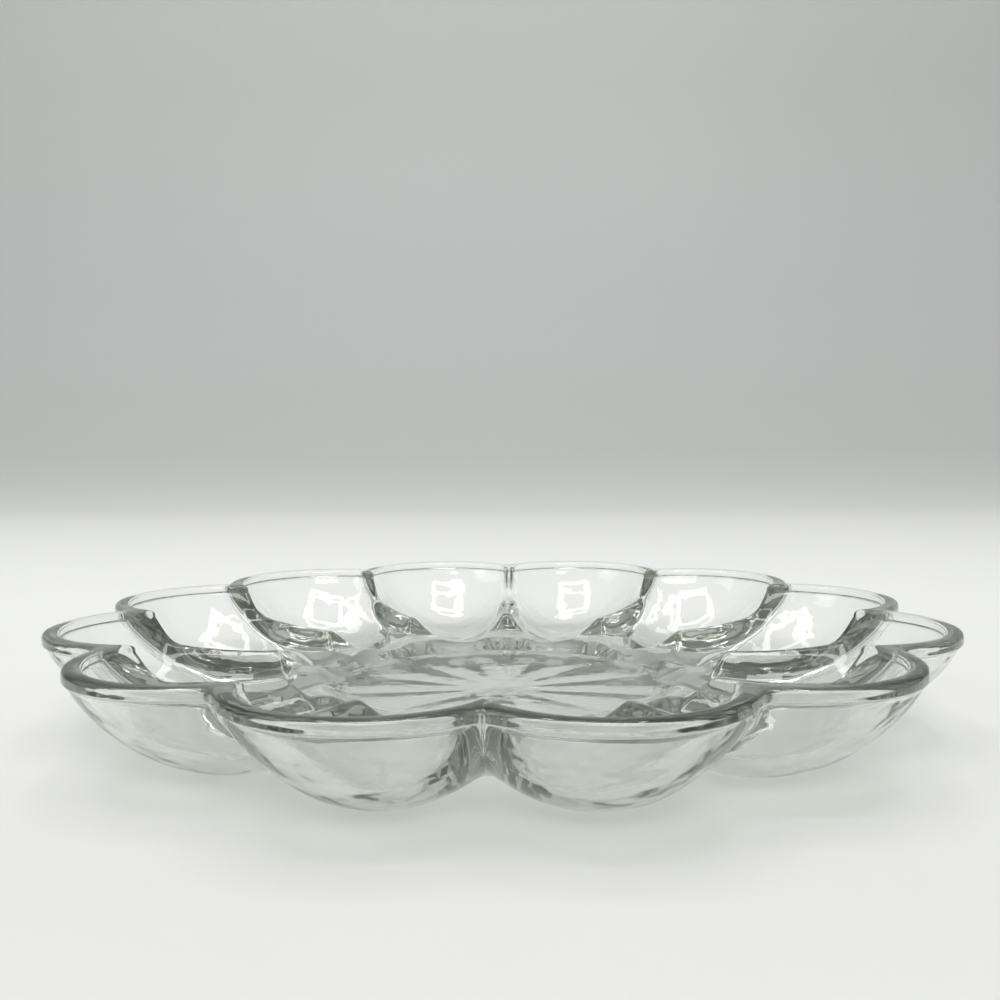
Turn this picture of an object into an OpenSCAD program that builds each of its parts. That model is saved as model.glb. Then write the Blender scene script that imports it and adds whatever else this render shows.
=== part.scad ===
// Pressed glass platter for deviled eggs: one clear pressing with a ring of egg cups
// round a shallow centre. Every cup is a lobe of the scalloped rim, and the platter
// stands on the round undersides of its cups. The pressing is lofted: each direction
// from the middle has one outline, which runs over the top, round the rim bead and
// back underneath, and the outlines of half a lobe repeat, mirrored, all the way round.
// The origin is on the table under the centre, +Z is up, and one divider points along -Y.

/* [Platter] */
// Overall diameter across two opposite lobe tips
platter_d = 254; // [240:1:270]
// Height of the rim above the table
platter_h = 29; // [27:0.2:31]
// Number of egg cups, and of lobes in the rim
cup_count = 12; // [11:1:13]

/* [Lobes] */
// Radius of each scallop of the rim, seen from above
scallop_r = 31.8; // [30:0.2:34]
// Radius of a lobe's underside along its length
bowl_r = 46; // [44:0.2:48]
// Height of the level axis that a lobe's underside is turned about
bowl_axis_h = 32.8; // [31:0.2:35]
// How far the groove between two lobes is rounded out at the rim
groove_round = 2; // [1:0.1:3]
// How far that groove is rounded out low down, where it is sharper
groove_low_round = 1.4; // [1:0.1:2]
// How much of the round underside is ground flat where it stands
foot_sink = 0.4; // [0.35:0.05:0.7]

/* [Rim] */
// Thickness of the bead along the rim
rim_t = 4.6; // [4:0.1:6]
// Height of the plain band round the outside of the rim
rim_band_h = 3.2; // [3:0.1:4.4]
// How far that band stands proud of the wall below it
rim_step = 0.7; // [0.3:0.1:1.2]
// Height over which the wall flares out below that band
rim_flare_h = 10; // [7:0.5:13]

/* [Cups] */
// Thickness of the glass under a cup and round its outer end
wall_t = 4.5; // [3.6:0.1:5.4]
// Radius of a cup's floor along its length, from its lowest place inwards
cup_run_r = 87; // [75:1:100]
// Radius of a cup across its length, at its inner end
cup_in_r = 14; // [12.5:0.5:15.5]
// Radius of a cup across its length, at its outer end
cup_out_r = 28.7; // [27.5:0.1:30]

/* [Dividers] */
// Lowest height of the divider between two cups
divider_h = 16.3; // [15:0.1:17.5]
// Distance from the lobe tips in to the divider's lowest place
divider_low_in = 55; // [51:0.5:59]
// Radius of the long curve of the divider's top
divider_r = 175; // [140:5:210]
// Distance from the lobe tips in to where the divider turns up to the rim
divider_turn_in = 31; // [28:0.5:34]
// Radius of the turn up to the rim
divider_turn_curve_r = 7; // [6:0.2:9]
// Rounding of the divider's crest
crest_round = 3; // [1:0.1:4]
// Length over which a divider's inner end climbs
nose_l = 8; // [6:0.5:10]

/* [Centre] */
// Thickness of the glass in the middle
centre_t = 4.4; // [3.5:0.1:5.5]
// Height of the underside in the middle above the table
centre_gap = 1.5; // [1:0.1:2.5]
// Radius of the very shallow dish of the centre
centre_curve_r = 800; // [600:10:1000]
// Width of the ring of cups, from the lobe tips in to the top of the shoulder
cup_ring_w = 70; // [68:0.5:72]
// Width of the shoulder that slopes down from there to the centre
shoulder_w = 11; // [8:0.5:14]
// Height of the top of that shoulder above the table
shoulder_h = 10.8; // [10:0.1:11.6]
// Level stretch between the shoulder and a divider's inner end
nose_gap = 3; // [1:0.5:5]

/* [Underside] */
// Distance from the top of the shoulder in to the edge of the level base
base_in = 1; // [0.5:0.5:5]
// How far the underside rises between the lobes, from the base outwards
base_rise = 5; // [3:0.1:6]
// Rounding where the lobes grow out of the base
base_round = 2; // [1:0.1:3]
// Radius of the base's turn up into the groove between two lobes
base_end_r = 5; // [3:0.5:8]
// Depth of each petal of the rosette pressed into the base
petal_depth = 1.4; // [0.8:0.1:2]
// Plain margin between the petals' outer ends and the edge of the base
petal_margin = 9; // [6:0.5:16]

/* [Hidden] */

tip_r = platter_d / 2;
sector_a = 360 / cup_count;
half_a = sector_a / 2;

// Places that keep their distance from the lobe tips
shoulder_top_r = tip_r - cup_ring_w;
shoulder_foot_r = shoulder_top_r - shoulder_w;
divider_low_r = tip_r - divider_low_in;
divider_turn_r = tip_r - divider_turn_in;
base_r = shoulder_top_r - base_in;
petal_out_r = base_r - petal_margin;
nose_foot_r = shoulder_top_r + nose_gap;
nose_top_r = nose_foot_r + nose_l;

// Rim: a bead of squarish section, narrower where two lobes meet
bead_r = rim_t / 2;
bead_h = platter_h - bead_r;
bead_valley_share = 0.7;
scallop_x = tip_r - scallop_r;
band_h = platter_h - rim_band_h;
bead_square_share = 0.6;

// Lobe underside: an arc turned about a level axis, ground flat at the foot
bowl_h = bowl_r - foot_sink;
bowl_x = tip_r - rim_step - sqrt(pow(bowl_r, 2) - pow(bowl_h - band_h, 2));
bowl_drop = bowl_h - bowl_axis_h;
foot_flat_share = 0.6;
foot_half_l = foot_flat_share * sqrt(pow(bowl_r, 2) - pow(bowl_h, 2));

// Cup: outwards it keeps to the lobe's underside, a wall away; inwards it runs out
// slowly. Its section is round and widens towards the rim.
cup_r = bowl_r - wall_t;
cup_floor_h = wall_t - foot_sink;
cup_grow_from = shoulder_foot_r;
cup_grow_to = scallop_x + scallop_r / 2;
// Higher than anything in the platter: what a form returns where it has no surface
open_h = platter_d;

// Places along the outline where one stretch hands over to the next
apron_r = base_r + 3 * base_round;
knee_share = 0.3;
knee_h = knee_share * platter_h;
cup_knee_share = 0.7;
cup_knee_h = cup_knee_share * platter_h;

// Loft: columns in half a lobe, then rings along each stretch of the outline
COLS = 5;
CENTRE_RINGS = 3;
SHOULDER_RINGS = 7;
CUP_RINGS = 8;
LIP_RINGS = 4;
BEAD_RINGS = 6;
WALL_RINGS = 6;
BOWL_RINGS = 5;
APRON_RINGS = 4;
BASE_RINGS = 7;
HALVINGS = 20;

function mix(a, b, s) = a + (b - a) * s;
function ramp(x, a, b) =
  let (s = max(0, min(1, (x - a) / (b - a))))
  s * s * (3 - 2 * s);
function blend_min(a, b, k) = min(a, b) - pow(max(k - abs(a - b), 0), 2) / (4 * k);

// A cup's floor and walls, at x along the lobe and y across it
function cup_side_r(x) = mix(cup_in_r, cup_out_r, ramp(x, cup_grow_from, cup_grow_to));
function cup_z(x, y) =
  let (side = cup_side_r(x))
  let (long = x < bowl_x ? cup_run_r : cup_r)
  let (deep = long - side + sqrt(max(0, side * side - y * y)))
  let (run = x - bowl_x)
  abs(y) >= side || deep <= abs(run) ? open_h : cup_floor_h + long - sqrt(deep * deep - run * run);

// The dividers' top, the shoulder and the centre, all turned about the middle
function centre_z(r) = centre_gap + centre_t + r * r / (2 * centre_curve_r);
function divider_z(r) =
  divider_h + pow(r - divider_low_r, 2) / (2 * divider_r)
  + pow(max(0, r - divider_turn_r), 2) / (2 * divider_turn_curve_r);
function shoulder_z(r) = mix(centre_z(r), shoulder_h, ramp(r, shoulder_foot_r, shoulder_top_r));
function dish_z(r) = mix(shoulder_z(r), divider_z(r), ramp(r, nose_foot_r, nose_top_r));

function top_z(r, a) = blend_min(cup_z(r * cos(a), r * sin(a)), dish_z(r), crest_round);

// The groove between two lobes is rounded: near it, a direction counts as one further
// from the groove
function groove_at(h) = mix(groove_low_round, groove_round, ramp(h, knee_h, band_h));
function soft_a(a, h) =
  let (groove_a = groove_at(h) / scallop_x * 180 / PI)
  half_a - sqrt(pow(half_a - a, 2) + pow(groove_a, 2));

// A lobe's round underside, at x along the lobe and y across it
function bowl_z(x, y) =
  let (deep = sqrt(max(0, pow(bowl_r, 2) - pow(x - bowl_x, 2))) - bowl_drop)
  deep <= abs(y) ? open_h : bowl_axis_h - sqrt(deep * deep - y * y);

// The base with its rosette: one petal points at each divider
function petal_z(r, a) =
  petal_depth * sin(180 * pow(min(1, r / petal_out_r), 1.6)) * (1 - pow(1 - a / half_a, 2));
function base_z(r, a) =
  centre_gap + petal_z(r, a) + base_rise * ramp(r, base_r, bowl_x)
  + pow(max(0, r - bowl_x), 2) / (2 * base_end_r);
function under_z(r, a) =
  let (s = soft_a(a, 0))
  max(0, blend_min(bowl_z(r * cos(s), r * sin(s)), base_z(r, a), base_round));

// Distance from the middle to a point at distance d from the centre of its scallop
function scallop_ray(d, a) = scallop_x * cos(a) + sqrt(max(0, d * d - pow(scallop_x * sin(a), 2)));
// The same on the outside, where the groove is rounded
function outer_ray(d, a) = scallop_ray(d, soft_a(a, band_h));
// Distance from the middle to the top side at height h, found by halving
function top_ray(h, a, lo = bowl_x, hi = tip_r, n = HALVINGS) =
  let (m = mix(lo, hi, 0.5))
  let (outside = top_z(m, a) > h)
  n == 0 ? m : top_ray(h, a, outside ? lo : m, outside ? m : hi, n - 1);
// Distance from the middle to the lobe's wall at height h, found by halving
function wall_ray(h, a, lo = base_r, hi = tip_r, n = HALVINGS) =
  let (m = mix(lo, hi, 0.5))
  let (outside = m > bowl_x && bowl_z(m * cos(a), m * sin(a)) > h)
  n == 0 ? m : wall_ray(h, a, outside ? lo : m, outside ? m : hi, n - 1);

function bead_half(a) = bead_r * mix(1, bead_valley_share, ramp(a, 0, half_a));
function squared(s) = sign(s) * pow(abs(s), bead_square_share);
function wall_r(h, a) =
  let (under_band = outer_ray(scallop_r - rim_step, a))
  mix(min(under_band, wall_ray(h, soft_a(a, h))), under_band, ramp(h, band_h - rim_flare_h, band_h));
// The cup's wall below the bead, which it meets without an edge
function lip_r(h, a) =
  let (bead_in = scallop_ray(scallop_r - 2 * bead_half(a), a))
  mix(min(bead_in, top_ray(h, a)), bead_in, ramp(h, cup_knee_h, bead_h));

// The outline in direction a from a lobe's own axis: [distance from the middle, height]
function outline(a) =
  let (half = bead_half(a))
  let (bead_out = outer_ray(scallop_r, a))
  let (bead_in = scallop_ray(scallop_r - 2 * half, a))
  let (bead_mid = (bead_in + bead_out) / 2)
  concat(
    [for (i = [1 : CENTRE_RINGS]) let (r = shoulder_foot_r * i / CENTRE_RINGS) [r, top_z(r, a)]],
    [for (i = [1 : SHOULDER_RINGS])
      let (r = mix(shoulder_foot_r, nose_top_r, i / SHOULDER_RINGS)) [r, top_z(r, a)]],
    [for (i = [1 : CUP_RINGS])
      let (r = mix(nose_top_r, lip_r(cup_knee_h, a), sin(90 * i / CUP_RINGS))) [r, top_z(r, a)]],
    [for (i = [1 : LIP_RINGS])
      let (h = mix(cup_knee_h, bead_h, i / LIP_RINGS)) [lip_r(h, a), h]],
    [for (i = [1 : BEAD_RINGS])
      let (s = 180 * i / BEAD_RINGS)
      [mix(bead_mid, bead_out, -squared(cos(s))), bead_h + bead_r * squared(sin(s))]],
    [[bead_out, band_h]],
    [for (i = [0 : WALL_RINGS])
      let (h = mix(band_h - rim_step, knee_h, i / WALL_RINGS)) [wall_r(h, a), h]],
    [for (i = [1 : BOWL_RINGS])
      let (r = mix(wall_r(knee_h, a), bowl_x + foot_half_l, i / BOWL_RINGS)) [r, under_z(r, a)]],
    [for (i = [0 : APRON_RINGS - 1])
      let (r = mix(bowl_x - foot_half_l, apron_r, i / APRON_RINGS)) [r, under_z(r, a)]],
    [for (i = [0 : BASE_RINGS - 1]) let (r = mix(apron_r, 0, i / BASE_RINGS)) [r, under_z(r, a)]]
  );

// Columns lie closer together at the foot and at the divider's crest
function column_share(i) = (i / COLS + (1 - cos(180 * i / COLS)) / 2) / 2;
half_lobe = [for (i = [0 : COLS]) outline(half_a * column_share(i))];
lobe_cols = 2 * COLS;
cols = lobe_cols * cup_count;
rings = len(half_lobe[0]);

// Column j counts from one divider to the next, through the lobe's own axis
function side_i(j) = abs((j % lobe_cols) - COLS);
function column_a(j) =
  let (lobe = floor(j / lobe_cols))
  let (side = (j % lobe_cols) < COLS ? -1 : 1)
  (lobe + 0.5) * sector_a - 90 + side * half_a * column_share(side_i(j));

points = concat(
  [for (j = [0 : cols - 1]) let (a = column_a(j))
    for (p = half_lobe[side_i(j)]) [p[0] * cos(a), p[0] * sin(a), p[1]]],
  [[0, 0, top_z(0, 0)], [0, 0, under_z(0, 0)]]
);
top_pole = cols * rings;
under_pole = top_pole + 1;
faces = [
  for (j = [0 : cols - 1])
    let (here = j * rings)
    let (next = ((j + 1) % cols) * rings)
    each concat(
      [[top_pole, next, here], [here + rings - 1, next + rings - 1, under_pole]],
      [for (i = [0 : rings - 2]) [here + i, next + i, next + i + 1]],
      [for (i = [0 : rings - 2]) [here + i, next + i + 1, here + i + 1]]
    )
];

module egg_platter() {
  color([0.86, 0.9, 0.89, 0.6]) polyhedron(points, faces, convexity = 8);
}

egg_platter();
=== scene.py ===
import bpy
import bmesh
from math import copysign, cos, pi, radians, sin, sqrt
from mathutils import Matrix, Vector


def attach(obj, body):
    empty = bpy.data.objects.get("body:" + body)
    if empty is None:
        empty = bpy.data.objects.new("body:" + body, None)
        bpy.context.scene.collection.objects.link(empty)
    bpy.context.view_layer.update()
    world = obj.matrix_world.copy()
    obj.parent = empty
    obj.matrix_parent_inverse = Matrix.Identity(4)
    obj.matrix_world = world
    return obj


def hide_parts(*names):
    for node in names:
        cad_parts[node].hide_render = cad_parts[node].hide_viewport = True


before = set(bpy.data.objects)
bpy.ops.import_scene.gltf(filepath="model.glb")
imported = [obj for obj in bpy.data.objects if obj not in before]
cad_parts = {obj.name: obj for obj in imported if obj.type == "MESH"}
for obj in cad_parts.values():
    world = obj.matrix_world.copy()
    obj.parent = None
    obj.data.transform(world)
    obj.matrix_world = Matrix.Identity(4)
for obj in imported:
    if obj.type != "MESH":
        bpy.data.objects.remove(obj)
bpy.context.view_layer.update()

MM = 0.001

# Sizes of the pressing, in millimetres, as the mould has them
PLATTER_D = 254.0
PLATTER_H = 29.0
CUP_COUNT = 12

# The lobes: their scallops from above, their round undersides, the grooves between them
SCALLOP_R = 31.8
BOWL_R = 46.0
BOWL_AXIS_H = 32.8
GROOVE_ROUND = 2.0
GROOVE_LOW_ROUND = 1.4
FOOT_SINK = 0.4

# The rim: a squarish bead on a plain band, and the flare of the wall below it
RIM_T = 4.6
RIM_BAND_H = 3.2
RIM_STEP = 0.7
RIM_FLARE_H = 17.0
STEP_ROUND = 0.5
BEAD_VALLEY_SHARE = 0.95
BEAD_SQUARE_SHARE = 0.6

# The cups, narrow end inwards, and the glass under them
WALL_T = 4.5
CUP_RUN_R = 87.0
CUP_IN_R = 14.0
CUP_OUT_R = 28.7

# The dividers, low in the middle of their run, with a nose at the inner end
DIVIDER_H = 16.3
DIVIDER_LOW_IN = 55.0
DIVIDER_R = 175.0
DIVIDER_TURN_IN = 31.0
DIVIDER_TURN_CURVE_R = 7.0
CREST_ROUND = 3.0
NOSE_L = 8.0
NOSE_GAP = 3.0

# The centre, the shoulder round it, and the base with its rosette of petals
CENTRE_T = 4.4
CENTRE_GAP = 1.5
CENTRE_CURVE_R = 800.0
CUP_RING_W = 70.0
SHOULDER_W = 11.0
SHOULDER_H = 10.8
BASE_IN = 1.0
BASE_RISE = 5.0
BASE_ROUND = 2.0
BASE_END_R = 5.0
PETAL_DEPTH = 1.1
PETAL_MARGIN = 9.0
PETAL_ROUND = 2.2
PETAL_LEAN = 1.6

# What follows from them
TIP_R = PLATTER_D / 2
SHOULDER_TOP_R = TIP_R - CUP_RING_W
SHOULDER_FOOT_R = SHOULDER_TOP_R - SHOULDER_W
DIVIDER_LOW_R = TIP_R - DIVIDER_LOW_IN
DIVIDER_TURN_R = TIP_R - DIVIDER_TURN_IN
BASE_R = SHOULDER_TOP_R - BASE_IN
APRON_R = BASE_R + 3 * BASE_ROUND
PETAL_OUT_R = BASE_R - PETAL_MARGIN
NOSE_FOOT_R = SHOULDER_TOP_R + NOSE_GAP
NOSE_TOP_R = NOSE_FOOT_R + NOSE_L
HALF_A = pi / CUP_COUNT
BEAD_R = RIM_T / 2
BEAD_H = PLATTER_H - BEAD_R
BAND_H = PLATTER_H - RIM_BAND_H
SCALLOP_X = TIP_R - SCALLOP_R
BOWL_H = BOWL_R - FOOT_SINK
BOWL_X = TIP_R - RIM_STEP - sqrt(BOWL_R ** 2 - (BOWL_H - BAND_H) ** 2)
BOWL_DROP = BOWL_H - BOWL_AXIS_H
CUP_R = BOWL_R - WALL_T
CUP_FLOOR_H = WALL_T - FOOT_SINK
# A height above everything, for places where a cup or a bowl has no glass
OPEN_H = PLATTER_D
# Where the steep part of a side starts, outside and inside
KNEE_H = 0.3 * PLATTER_H
CUP_KNEE_H = 0.5 * PLATTER_H

# How finely half a lobe is divided: columns across it, rings along each stretch
COLUMNS = 20
CENTRE_RINGS = 22
SHOULDER_RINGS = 26
CUP_RINGS = 34
LIP_RINGS = 16
BEAD_RINGS = 16
STEP_RINGS = 4
WALL_RINGS = 14
BOWL_RINGS = 28
BASE_RINGS = 30
HALVINGS = 30
# Points closer than this, in metres, are one where two lobes meet
SEAM_GAP = 1e-6

# The waves that fire-polishing leaves in a pressed skin, in millimetres: from crest to
# crest, and how deep
SKIN_WAVE = 11.0
SKIN_DEPTH = 0.35

# The sweep, in metres. Its top is a hair below the feet, so that glass and table never
# share a face
TABLE_Z = -0.0001
SWEEP_HALF = 2.2
SWEEP_BACK = 1.6
SWEEP_H = 2.2
SWEEP_BEND = 0.7
SWEEP_BEND_STEPS = 40
# Its colour by the way up from the front, in metres of depth and height added up: painted light
# and shade, darker at the front, palest just behind the platter, greyer up the backdrop
SWEEP_PAINTED_LIGHT_RUN = (-0.4, 2.4)
SWEEP_PAINTED_LIGHT_STOPS = [(0.0, "#DCDCD8"), (0.098, "#DEDEDA"), (0.13, "#E6E6E2"), (0.16, "#ECECE8"),
               (0.216, "#F3F3F1"), (0.275, "#F3F3F1"), (0.32, "#F1F1EF"), (0.393, "#EBEBE8"),
               (0.489, "#DBDCD9"), (0.537, "#CECFCD"), (0.587, "#C7C8C7"), (0.664, "#C8C9C8"),
               (0.79, "#CDCECE"), (1.0, "#DBDCDB")]

# The room by how high one looks, from the table's level to straight up
ROOM_STOPS = [(0.0, "#5A5E5C"), (0.2, "#6E7270"), (0.55, "#CACCCB"), (1.0, "#F0F1F0")]
# The square frame of lamps overhead, in metres and watts
FRAME_AT = (-0.06, 0.03, 1.6)
FRAME_SIZE = 0.9
FRAME_WIDTH = 0.15
FRAME_WATTS = 9.7

# Two windows of the room: where they are, how large and how bright
LIT_PLACE = (0, 0.05, 0)
WINDOW_AT = (-1.6, -0.6, 1.3)
WINDOW_SIZE = (0.9, 0.9)
WINDOW_WATTS = 5
FRONT_WINDOW_AT = (0.15, -1.5, 1.25)
FRONT_WINDOW_SIZE = (1.1, 0.5)
FRONT_WINDOW_WATTS = 10

# Camera: where the photograph was taken from, and its lens
CAMERA_AT = (7.66, -305.2, 50.4 + PLATTER_H)
CAMERA_YAW = radians(-1.457)
CAMERA_PITCH = radians(-7.811)
CAMERA_ROLL = radians(-0.353)
PLATTER_TURN = radians(-0.455)
FOCAL_SHARE = 1.03926
SENSOR = 36.0
SHIFT_Y = 0.081


def mix(a, b, s):
    return a + (b - a) * s


def ramp(x, a, b):
    s = max(0.0, min(1.0, (x - a) / (b - a)))
    return s * s * (3 - 2 * s)


def blend_min(a, b, k):
    return min(a, b) - max(k - abs(a - b), 0.0) ** 2 / (4 * k)


def cup_z(x, y):
    """Height of a cup's floor and walls, x along the lobe and y across it."""
    side = mix(CUP_IN_R, CUP_OUT_R, ramp(x, SHOULDER_FOOT_R, SCALLOP_X + SCALLOP_R / 2))
    long = CUP_RUN_R if x < BOWL_X else CUP_R
    deep = long - side + sqrt(max(0.0, side * side - y * y))
    run = abs(x - BOWL_X)
    if abs(y) >= side or deep <= run:
        return OPEN_H
    return CUP_FLOOR_H + long - sqrt(deep * deep - run * run)


def dish_z(r):
    """Height of the centre, the shoulder and the dividers' top."""
    centre = CENTRE_GAP + CENTRE_T + r * r / (2 * CENTRE_CURVE_R)
    low = (r - DIVIDER_LOW_R) ** 2 / (2 * DIVIDER_R)
    turn = max(0.0, r - DIVIDER_TURN_R) ** 2 / (2 * DIVIDER_TURN_CURVE_R)
    shoulder = mix(centre, SHOULDER_H, ramp(r, SHOULDER_FOOT_R, SHOULDER_TOP_R))
    return mix(shoulder, DIVIDER_H + low + turn, ramp(r, NOSE_FOOT_R, NOSE_TOP_R))


def top_z(r, a):
    return blend_min(cup_z(r * cos(a), r * sin(a)), dish_z(r), CREST_ROUND)


def soft_a(a, h):
    """A direction near the groove between two lobes counts as one further from it."""
    groove = mix(GROOVE_LOW_ROUND, GROOVE_ROUND, ramp(h, KNEE_H, BAND_H))
    return HALF_A - sqrt((HALF_A - a) ** 2 + (groove / SCALLOP_X) ** 2)


def bowl_z(x, y):
    """Height of a lobe's round underside, x along the lobe and y across it."""
    deep = sqrt(max(0.0, BOWL_R ** 2 - (x - BOWL_X) ** 2)) - BOWL_DROP
    if deep <= abs(y):
        return OPEN_H
    return BOWL_AXIS_H - sqrt(deep * deep - y * y)


def base_z(r, a):
    along = sin(pi * min(1.0, r / PETAL_OUT_R) ** PETAL_LEAN)
    soft = min(HALF_A, sqrt(a * a + (PETAL_ROUND / max(r, PETAL_ROUND)) ** 2))
    petal = PETAL_DEPTH * along * (1 - (1 - soft / HALF_A) ** 2)
    end = max(0.0, r - BOWL_X) ** 2 / (2 * BASE_END_R)
    return CENTRE_GAP + petal + BASE_RISE * ramp(r, BASE_R, BOWL_X) + end


def under_z(r, a):
    s = soft_a(a, 0)
    return max(0.0, blend_min(bowl_z(r * cos(s), r * sin(s)), base_z(r, a), BASE_ROUND))


def scallop_ray(d, a):
    """Distance from the middle to a point d away from the centre of its scallop."""
    return SCALLOP_X * cos(a) + sqrt(max(0.0, d * d - (SCALLOP_X * sin(a)) ** 2))


def outer_ray(d, a):
    """The same on the outside, where the groove between two lobes is rounded."""
    return scallop_ray(d, soft_a(a, BAND_H))


def reach(height_at, h):
    """Distance from the middle, between cup and tip, at which a side rises past height h."""
    low, high = BOWL_X, TIP_R
    for _ in range(HALVINGS):
        middle = (low + high) / 2
        if height_at(middle) > h:
            high = middle
        else:
            low = middle
    return low


def wall_r(h, a):
    """Distance from the middle to the lobe's outer wall at height h."""
    s = soft_a(a, h)
    wall = reach(lambda r: bowl_z(r * cos(s), r * sin(s)), h)
    top_s = soft_a(a, BAND_H)
    top = reach(lambda r: bowl_z(r * cos(top_s), r * sin(top_s)), BAND_H)
    under_band = outer_ray(SCALLOP_R - RIM_STEP, a)
    return min(under_band, wall + (under_band - top) * ramp(h, BAND_H - RIM_FLARE_H, BAND_H))


def lip_r(h, a):
    """Distance from the middle to the cup's wall below the bead, at height h."""
    bead_in = scallop_ray(SCALLOP_R - 2 * bead_half(a), a)
    wall = reach(lambda r: top_z(r, a), h)
    top = reach(lambda r: top_z(r, a), BEAD_H)
    return wall + (bead_in - top) * ramp(h, CUP_KNEE_H, BEAD_H)


def bead_half(a):
    return BEAD_R * mix(1, BEAD_VALLEY_SHARE, ramp(a, 0, HALF_A))


def squared(s):
    """A sine or cosine pushed outwards, which turns a circle into a rounded square."""
    return copysign(abs(s) ** BEAD_SQUARE_SHARE, s)


def outline(a):
    """The outline in direction a from a lobe's own axis: pairs of radius and height."""
    bead_in = scallop_ray(SCALLOP_R - 2 * bead_half(a), a)
    bead_out = outer_ray(SCALLOP_R, a)
    line = [(0.0, top_z(0, a))]
    for i in range(CENTRE_RINGS):
        r = SHOULDER_FOOT_R * (i + 1) / CENTRE_RINGS
        line.append((r, top_z(r, a)))
    for i in range(SHOULDER_RINGS):
        r = mix(SHOULDER_FOOT_R, NOSE_TOP_R, (i + 1) / SHOULDER_RINGS)
        line.append((r, top_z(r, a)))
    for i in range(CUP_RINGS):
        r = mix(NOSE_TOP_R, lip_r(CUP_KNEE_H, a), sin(pi / 2 * (i + 1) / CUP_RINGS))
        line.append((r, top_z(r, a)))
    for i in range(LIP_RINGS):
        h = mix(CUP_KNEE_H, BEAD_H, (i + 1) / LIP_RINGS)
        line.append((lip_r(h, a), h))
    for i in range(BEAD_RINGS):
        s = pi * (i + 1) / BEAD_RINGS
        r = mix(bead_in, bead_out, (1 - squared(cos(s))) / 2)
        line.append((r, BEAD_H + BEAD_R * squared(sin(s))))
    for i in range(STEP_RINGS + 1):
        s = pi / 2 * i / STEP_RINGS
        out = SCALLOP_R - STEP_ROUND * (1 - cos(s))
        line.append((outer_ray(out, a), BAND_H + STEP_ROUND * (1 - sin(s))))
    for i in range(WALL_RINGS + 1):
        h = mix(BAND_H - RIM_STEP / 2, KNEE_H, i / WALL_RINGS)
        line.append((wall_r(h, a), h))
    knee_r = wall_r(KNEE_H, a)
    for i in range(BOWL_RINGS):
        r = mix(knee_r, APRON_R, (i + 1) / BOWL_RINGS)
        line.append((r, under_z(r, a)))
    for i in range(BASE_RINGS):
        r = APRON_R * (1 - (i + 1) / BASE_RINGS)
        line.append((r, under_z(r, a)))
    return line


def pressed_platter():
    """Half a lobe as a grid, mirrored and spun into the whole pressing."""
    shares = [(i / COLUMNS + (1 - cos(pi * i / COLUMNS)) / 2) / 2 for i in range(COLUMNS + 1)]
    lines = [outline(HALF_A * share) for share in shares]
    rings = len(lines[0]) - 1
    bm = bmesh.new()
    bmesh.ops.create_grid(bm, x_segments=COLUMNS, y_segments=rings, size=0.5)
    for v in bm.verts:
        column = round((v.co.x + 0.5) * COLUMNS)
        ring = round((v.co.y + 0.5) * rings)
        r, z = lines[column][ring]
        a = HALF_A * shares[column]
        v.co = Vector((r * cos(a), r * sin(a), z)) * MM
    half = bm.verts[:] + bm.edges[:] + bm.faces[:]
    bmesh.ops.mirror(bm, geom=half, axis="Y", merge_dist=SEAM_GAP)
    first_lobe_a = -pi / 2 + HALF_A
    bmesh.ops.rotate(bm, verts=bm.verts[:], matrix=Matrix.Rotation(first_lobe_a, 3, "Z"))
    lobe = bm.verts[:] + bm.edges[:] + bm.faces[:]
    bmesh.ops.spin(
        bm, geom=lobe, cent=(0, 0, 0), axis=(0, 0, 1), use_duplicate=True,
        angle=2 * pi * (CUP_COUNT - 1) / CUP_COUNT, steps=CUP_COUNT - 1,
    )
    bmesh.ops.remove_doubles(bm, verts=bm.verts[:], dist=2 * SEAM_GAP)
    bmesh.ops.recalc_face_normals(bm, faces=bm.faces[:])
    for f in bm.faces:
        f.smooth = True
    mesh = bpy.data.meshes.new("platter_glass")
    bm.to_mesh(mesh)
    bm.free()
    platter = bpy.data.objects.new("platter_glass", mesh)
    bpy.context.scene.collection.objects.link(platter)
    return platter


def linear(hex_colour):
    """An sRGB hex colour as the linear values that shaders take."""
    parts = [int(hex_colour[i:i + 2], 16) / 255 for i in (1, 3, 5)]
    lin = [p / 12.92 if p <= 0.04045 else ((p + 0.055) / 1.055) ** 2.4 for p in parts]
    return (*lin, 1.0)


def add_node(tree, kind, settings=None, links=None):
    """Adds a node, sets its inputs by name and links others; stops are a ramp's colours."""
    node = tree.nodes.new(kind)
    for name, value in (settings or {}).items():
        if name == "stops":
            ramp_line = node.color_ramp.elements
            ramp_line.remove(ramp_line[1])
            for i, (place, colour) in enumerate(value):
                stop = ramp_line[0] if i == 0 else ramp_line.new(place)
                stop.position = place
                stop.color = linear(colour)
        elif name in node.inputs:
            node.inputs[name].default_value = value
        else:
            setattr(node, name, value)
    for name, socket in (links or {}).items():
        tree.links.new(socket, node.inputs[name])
    return node


def new_material(name):
    material = bpy.data.materials.new(name)
    material.use_nodes = True
    material.node_tree.nodes.clear()
    return material, material.node_tree


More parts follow.
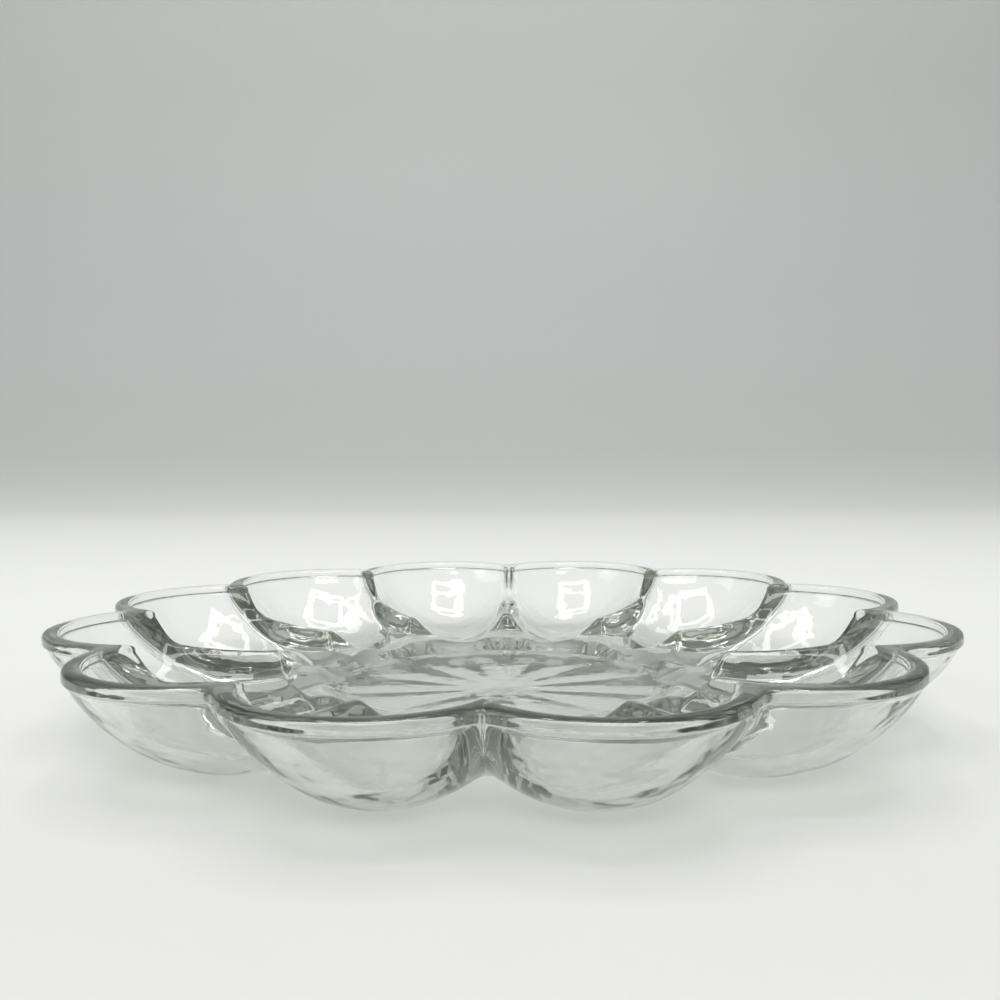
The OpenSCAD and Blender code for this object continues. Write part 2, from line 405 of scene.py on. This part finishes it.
def pressed_soda_lime_glass():
    """Clear soda-lime glass, fire-polished: sharp reflections that wobble with the skin's
    faint waves, and a grey-green depth that shows only through a long way of it."""
    material, tree = new_material("pressed_soda_lime_glass")
    place = add_node(tree, "ShaderNodeTexCoord")
    skin = add_node(tree, "ShaderNodeTexNoise", {
        "Scale": 1 / (SKIN_WAVE * MM), "Detail": 2.0, "Roughness": 0.4,
    }, {"Vector": place.outputs["Object"]})
    wavy = add_node(tree, "ShaderNodeBump", {"Distance": SKIN_DEPTH * MM},
                    {"Height": skin.outputs["Fac"]})
    glass = add_node(tree, "ShaderNodeBsdfPrincipled", {
        "Base Color": linear("#FFFFFF"), "Roughness": 0.0, "IOR": 1.52,
        "Transmission Weight": 1.0,
    }, {"Normal": wavy.outputs["Normal"]})
    # A share of the lamps' light passes straight down, which keeps the shadow pale
    clear = add_node(tree, "ShaderNodeBsdfTransparent", {"Color": linear("#A6A8A6")})
    path = add_node(tree, "ShaderNodeLightPath")
    seen = add_node(tree, "ShaderNodeMixShader", links={"Fac": path.outputs["Is Shadow Ray"]})
    tree.links.new(glass.outputs["BSDF"], seen.inputs[1])
    tree.links.new(clear.outputs["BSDF"], seen.inputs[2])
    depth = add_node(tree, "ShaderNodeVolumeAbsorption", {
        "Color": linear("#BDC4B9"), "Density": 24.0,
    })
    add_node(tree, "ShaderNodeOutputMaterial", links={
        "Surface": seen.outputs["Shader"], "Volume": depth.outputs["Volume"],
    })
    return material


def sweep_with_painted_light():
    """A white lacquered board, bent up behind into the backdrop, with a faint sheen. Its colour
    holds painted light and shade: palest behind where the platter stands, painted darker at
    the front and greyer up the backdrop, where the lamps' light falls off."""
    material, tree = new_material("white_sweep_painted_light")
    place = add_node(tree, "ShaderNodeTexCoord")
    axes = add_node(tree, "ShaderNodeSeparateXYZ", links={"Vector": place.outputs["Object"]})
    run = add_node(tree, "ShaderNodeMath", {"operation": "ADD"})
    tree.links.new(axes.outputs["Y"], run.inputs[0])
    tree.links.new(axes.outputs["Z"], run.inputs[1])
    share = add_node(tree, "ShaderNodeMapRange", {
        "From Min": SWEEP_PAINTED_LIGHT_RUN[0], "From Max": SWEEP_PAINTED_LIGHT_RUN[1],
    }, {"Value": run.outputs["Value"]})
    # Painted light and shade: the board's colour paler behind the platter, greyer towards the
    # front and up the backdrop
    shade = add_node(tree, "ShaderNodeValToRGB", {"stops": SWEEP_PAINTED_LIGHT_STOPS},
                     {"Fac": share.outputs["Result"]})
    board = add_node(tree, "ShaderNodeBsdfPrincipled", {
        "Roughness": 0.35, "Specular IOR Level": 0.2,
    }, {"Base Color": shade.outputs["Color"]})
    add_node(tree, "ShaderNodeOutputMaterial", links={"Surface": board.outputs["BSDF"]})
    return material


def set_stage():
    """One sheet: the table top, the bend behind it and the upright backdrop."""
    w, z = SWEEP_HALF, TABLE_Z
    bm = bmesh.new()
    front = [bm.verts.new((x, -w, z)) for x in (-w, w)]
    line = [bm.edges.new(front)]
    for step in ((0, w + SWEEP_BACK, 0), (0, 0, SWEEP_H)):
        made = bmesh.ops.extrude_edge_only(bm, edges=line)["geom"]
        verts = [g for g in made if isinstance(g, bmesh.types.BMVert)]
        line = [g for g in made if isinstance(g, bmesh.types.BMEdge)
                and all(v in verts for v in g.verts)]
        bmesh.ops.translate(bm, verts=verts, vec=step)
    corner = [e for e in bm.edges if all(abs(v.co.y - SWEEP_BACK) + abs(v.co.z - z) < MM
                                         for v in e.verts)]
    bmesh.ops.bevel(bm, geom=corner, offset=SWEEP_BEND, offset_type="OFFSET", profile=0.5,
                    segments=SWEEP_BEND_STEPS, affect="EDGES", material=-1)
    bmesh.ops.recalc_face_normals(bm, faces=bm.faces[:])
    for f in bm.faces:
        f.smooth = True
    mesh = bpy.data.meshes.new("sweep")
    bm.to_mesh(mesh)
    bm.free()
    mesh.materials.append(sweep_with_painted_light())
    sweep = bpy.data.objects.new("sweep", mesh)
    bpy.context.scene.collection.objects.link(sweep)


def lamp(name, place, target, size, watts):
    light = bpy.data.lights.new(name, "AREA")
    light.shape = "RECTANGLE"
    light.size, light.size_y = size
    light.energy = watts
    obj = bpy.data.objects.new(name, light)
    way = Vector(target) - Vector(place)
    turn = way.to_track_quat("-Z", "Y").to_matrix().to_4x4()
    obj.matrix_world = Matrix.Translation(place) @ turn
    bpy.context.scene.collection.objects.link(obj)


def set_room():
    """A bright ceiling over a darker room, which the glass shows all round."""
    world = bpy.data.worlds.new("room")
    bpy.context.scene.world = world
    world.use_nodes = True
    tree = world.node_tree
    tree.nodes.clear()
    place = add_node(tree, "ShaderNodeTexCoord")
    axes = add_node(tree, "ShaderNodeSeparateXYZ", links={"Vector": place.outputs["Generated"]})
    shade = add_node(tree, "ShaderNodeValToRGB", {"stops": ROOM_STOPS},
                     {"Fac": axes.outputs["Z"]})
    air = add_node(tree, "ShaderNodeBackground", {"Strength": 1.0},
                   {"Color": shade.outputs["Color"]})
    add_node(tree, "ShaderNodeOutputWorld", links={"Surface": air.outputs["Background"]})


def set_lamps():
    """A square frame of light overhead, which the back cups mirror, and two windows."""
    x, y, z = FRAME_AT
    half = FRAME_SIZE / 2
    along_y, along_x = (FRAME_WIDTH, FRAME_SIZE), (FRAME_SIZE, FRAME_WIDTH)
    sides = (("frame_left", x - half, y, along_y), ("frame_right", x + half, y, along_y),
             ("frame_near", x, y - half, along_x), ("frame_far", x, y + half, along_x))
    for name, at_x, at_y, size in sides:
        lamp(name, (at_x, at_y, z), (at_x, at_y, 0), size, FRAME_WATTS / len(sides))
    lamp("window", WINDOW_AT, LIT_PLACE, WINDOW_SIZE, WINDOW_WATTS)
    lamp("front_window", FRONT_WINDOW_AT, LIT_PLACE, FRONT_WINDOW_SIZE, FRONT_WINDOW_WATTS)


def set_camera():
    data = bpy.data.cameras.new("camera")
    data.sensor_fit = "HORIZONTAL"
    data.sensor_width = SENSOR
    data.lens = FOCAL_SHARE * SENSOR
    data.shift_y = SHIFT_Y
    data.clip_start = 0.01
    obj = bpy.data.objects.new("camera", data)
    yaw, pitch = CAMERA_YAW, CAMERA_PITCH
    ahead = Vector((sin(yaw) * cos(pitch), cos(yaw) * cos(pitch), sin(pitch)))
    right = Vector((cos(yaw), -sin(yaw), 0))
    up = right.cross(ahead)
    rolled_right = cos(CAMERA_ROLL) * right + sin(CAMERA_ROLL) * up
    rolled_up = cos(CAMERA_ROLL) * up - sin(CAMERA_ROLL) * right
    turn = Matrix((rolled_right, rolled_up, -ahead)).transposed().to_4x4()
    place = Matrix.Translation(Vector(CAMERA_AT) * MM)
    obj.matrix_world = Matrix.Rotation(-PLATTER_TURN, 4, "Z") @ place @ turn
    bpy.context.scene.collection.objects.link(obj)
    bpy.context.scene.camera = obj


platter = pressed_platter()
platter.data.materials.append(pressed_soda_lime_glass())
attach(platter, "root")
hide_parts("egg_platter")
set_stage()
set_room()
set_lamps()
set_camera()
bpy.context.scene.view_settings.view_transform = "Standard"
# Light that is trapped in the thick rim turns round many times before it gets out
paths = bpy.context.scene.cycles
paths.max_bounces = 40
paths.glossy_bounces = 32
paths.transmission_bounces = 40
